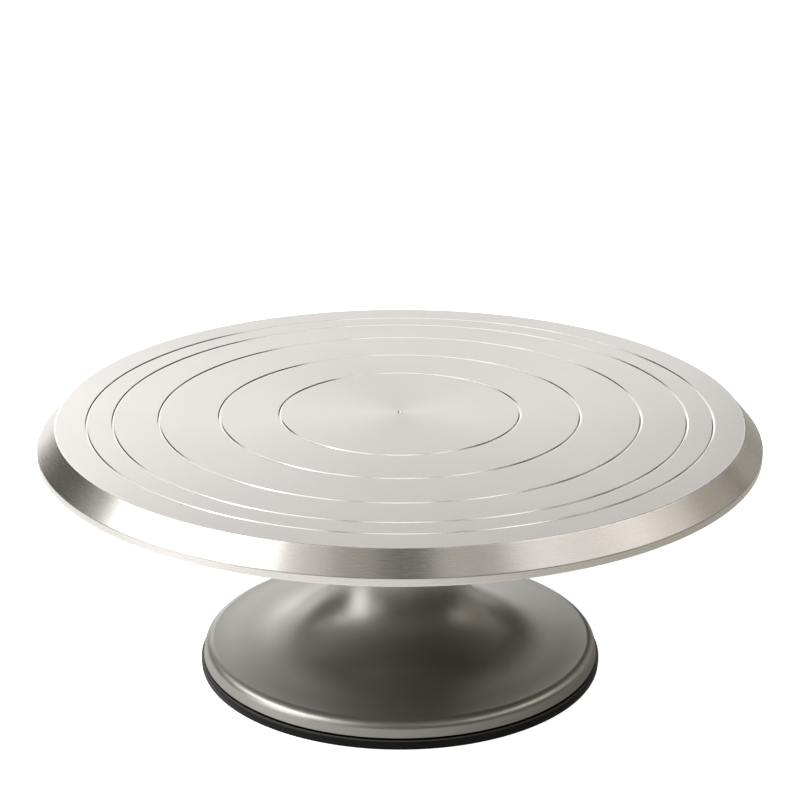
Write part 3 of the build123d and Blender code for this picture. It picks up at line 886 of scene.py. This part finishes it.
def foot_skin():
    corners = [(FOOT_INNER_R, 0.0, 0.5)]
    for r in GRIP_RADII:
        corners += [
            (r - GRIP_HALF_W, 0.0, 0.06), (r - GRIP_FLOOR_HALF_W, GRIP_D, 0.1),
            (r + GRIP_FLOOR_HALF_W, GRIP_D, 0.1), (r + GRIP_HALF_W, 0.0, 0.06),
        ]
    corners += [
        (FOOT_BOTTOM_R, 0.0, 0.5), (FOOT_R, FOOT_FLARE_Z), (FOOT_R, FOOT_LIP_Z, 0.6),
        (TONGUE_R, FOOT_LIP_Z), (TONGUE_R, TONGUE_Z), (TONGUE_INNER_R, TONGUE_Z),
        (TONGUE_INNER_R, FOOT_INNER_Z, 0.2), (FOOT_INNER_R, FOOT_INNER_Z, 0.8),
    ]
    skin = Skin(384)
    for run in outline(corners, steps=6):
        skin.sweep(run)
    return skin


make_object("grip_ring", foot_skin(), "black_rubber", "base", "foot_ring")

# ======================================================================
# Stage, in metres. The camera looks along +Y, with -X on its left.
# ======================================================================
scene = bpy.context.scene
scene.view_settings.view_transform = "Standard"
scene.view_settings.look = "None"

FLOOR_HALF = 8.0


def floor_material():
    """A floor that glows evenly to the camera, and is not there from below."""
    material = bpy.data.materials.new("floor")
    material.use_nodes = True
    floor = Shader(material.node_tree)
    principled = floor.tree.nodes["Principled BSDF"]
    place = floor.out(floor.node("ShaderNodeTexCoord"), "Object")
    x, y, _ = floor.split(place)

    # Painted light: other rays see it glow brighter towards -X, and glow inside the hollow foot
    side = floor.ramp(x, low=-0.36, high=0.14, start=0.20, end=0.0, smooth=True)
    radius = floor.math("SQRT", x * x + y * y, 0.0)
    painted_glow = side + radius.below(0.078) * 0.32
    camera_ray = floor.out(floor.node("ShaderNodeLightPath"), "Is Camera Ray")
    # Painted shade: the floor's colour darkens towards +X
    painted_floor_shade = floor.ramp(x, low=-0.02, high=0.40, smooth=True)
    floor.fill(
        principled,
        Base_Color=floor.mix(painted_floor_shade, base=(0.86, 0.86, 0.855), over=(0.50, 0.492, 0.445)),
        Roughness=0.9,
        Specular_IOR_Level=0.1,
        Emission_Color=(1.0, 0.998, 0.992),
        Emission_Strength=floor.lerp(camera_ray, painted_glow, over=0.92),
    )
    backfacing = floor.out(floor.node("ShaderNodeNewGeometry"), "Backfacing")
    clear = floor.node("ShaderNodeBsdfTransparent")
    floor.mix_surfaces(backfacing, principled, clear, floor.tree.nodes["Material Output"])
    return material


def make_floor():
    mesh = bpy.data.meshes.new("floor")
    signs = [(-1, -1), (1, -1), (1, 1), (-1, 1)]
    corners = [(x * FLOOR_HALF, y * FLOOR_HALF, 0) for x, y in signs]
    mesh.from_pydata(corners, [], [(0, 1, 2, 3)])
    floor = bpy.data.objects.new("floor", mesh)
    scene.collection.objects.link(floor)
    mesh.materials.append(floor_material())


make_floor()

AMBIENT, AMBIENT_COLOUR = 0.060, (1.0, 0.92, 0.70)
WHITE = (1.0, 1.0, 1.0)
# Light panels in the sky, angles in degrees, azimuth from +X towards +Y:
# azimuth, half width, side feather, lowest, highest, end feather, radiance, colour
PANELS = [
    (92, 13, 3, -4, 25, 3, 1.24, WHITE),                 # backdrop at +Y
    (110, 9, 3, -4, 31, 3, 0.84, WHITE),
    (113, 9, 4, -4, 13, 3, 0.15, WHITE),
    (106, 18, 10, -4, 31, 6, 0.11, WHITE),
    (97, 24, 8, 36, 60, 6, 0.25, WHITE),
    (149, 12, 5, 26, 60, 6, 1.08, WHITE),
    (-167, 13, 7, -4, 24, 4, 1.30, WHITE),               # window at -X, lower part
    (-170.5, 28, 5, 26, 60, 4, 3.70, WHITE),             # and its bright upper part
    (-157, 14, 5, 2, 27, 4, 1.35, WHITE),
    (-98, 30, 10, 4, 18, 4, 0.12, WHITE),
    (-132, 13, 6, 12, 60, 6, 0.80, (1.0, 0.97, 0.93)),
    (-111, 11, 6, 38, 66, 5, 0.37, (1.0, 0.95, 0.88)),
    (-88, 26, 8, 46, 66, 6, 0.05, (1.0, 0.95, 0.88)),
    (-66, 10, 4, 38, 68, 5, 0.56, (1.0, 0.96, 0.91)),
    (-24, 24, 8, 30, 70, 6, 1.02, (1.0, 0.975, 0.945)),
    (7, 12, 5, 22, 56, 6, 1.04, (1.0, 0.96, 0.90)),
    (27, 9, 5, 6, 44, 6, 0.42, (1.0, 0.94, 0.84)),
    (50, 9, 5, 0, 28, 6, 0.36, (1.0, 0.95, 0.87)),
    (0, 180, 0, 79, 95, 2, 1.25, WHITE),                 # overhead
    (6, 26, 8, 60, 79, 3, 0.90, WHITE),                  # with a wing to each side
    (174, 26, 8, 60, 79, 3, 1.30, WHITE),
]


def sin_deg(angle):
    return math.sin(math.radians(angle))


def cos_deg(angle):
    return math.cos(math.radians(angle))


def make_sky():
    """Soft studio light as a sky of feathered panels."""
    world = bpy.data.worlds.new("studio")
    scene.world = world
    world.use_nodes = True
    sky = Shader(world.node_tree)
    sky.tree.nodes.clear()
    output = sky.node("ShaderNodeOutputWorld")
    background = sky.node("ShaderNodeBackground")
    sky.fill(output, Surface=sky.out(background))
    x, y, z = sky.split(sky.out(sky.node("ShaderNodeTexCoord"), "Generated"))
    level = sky.math("MAXIMUM", sky.math("SQRT", x * x + y * y), 1e-4)
    east = x / level
    north = y / level

    def coloured(amount, colour):
        node = sky.node("ShaderNodeVectorMath", operation="SCALE")
        sky.put(colour, node.inputs[0])
        sky.fill(node, Scale=amount)
        return sky.out(node)

    total = coloured(AMBIENT, AMBIENT_COLOUR)
    for azimuth, half, feather, low, high, end_feather, radiance, colour in PANELS:
        width = 1.0                       # all round, or up to the zenith, needs no limit
        if half < 180:
            facing = east * cos_deg(azimuth) + north * sin_deg(azimuth)
            width = sky.ramp(facing, cos_deg(half + feather), cos_deg(half - feather),
                             smooth=True)
        bottom = sky.ramp(z, sin_deg(low - end_feather), sin_deg(low + end_feather), smooth=True)
        top = 1.0
        if high + end_feather < 90:
            top = sky.fade(z, sin_deg(high - end_feather), sin_deg(high + end_feather),
                           smooth=True)
        window = sky.math("MULTIPLY", width, bottom)
        panel = coloured(window * sky.math("MULTIPLY", top, radiance), colour)
        both = sky.node("ShaderNodeVectorMath", operation="ADD")
        sky.put_all((total, panel), both.inputs)
        total = sky.out(both)
    sky.fill(background, Color=total)


make_sky()


def make_softbox(name, azimuth, elevation, distance, width, height, radiance, target):
    """A rectangular light aimed at target, unseen by the camera and in reflections."""
    light = bpy.data.lights.new(name, "AREA")
    light.shape = "RECTANGLE"
    light.size = width
    light.size_y = height
    light.energy = radiance * math.pi * width * height
    light.color = WHITE
    obj = bpy.data.objects.new(name, light)
    scene.collection.objects.link(obj)
    towards = Vector((cos_deg(elevation) * cos_deg(azimuth),
                      cos_deg(elevation) * sin_deg(azimuth), sin_deg(elevation)))
    obj.location = Vector(target) + towards * distance
    obj.rotation_euler = towards.to_track_quat("Z", "Y").to_euler()
    obj.visible_camera = False
    obj.visible_glossy = False


make_softbox("floor_fill", azimuth=-170, elevation=34, distance=2.2, width=1.3, height=0.9,
             radiance=4.6, target=(0, 0, 0.1))

camera = bpy.data.cameras.new("camera")
camera.lens = 102.3
camera.sensor_width = 36.0
camera_obj = bpy.data.objects.new("camera", camera)
camera_obj.location = (0.0, -0.9048, 0.4428)
camera_obj.rotation_euler = (math.radians(70.33), 0, 0)
scene.collection.objects.link(camera_obj)
scene.camera = camera_obj
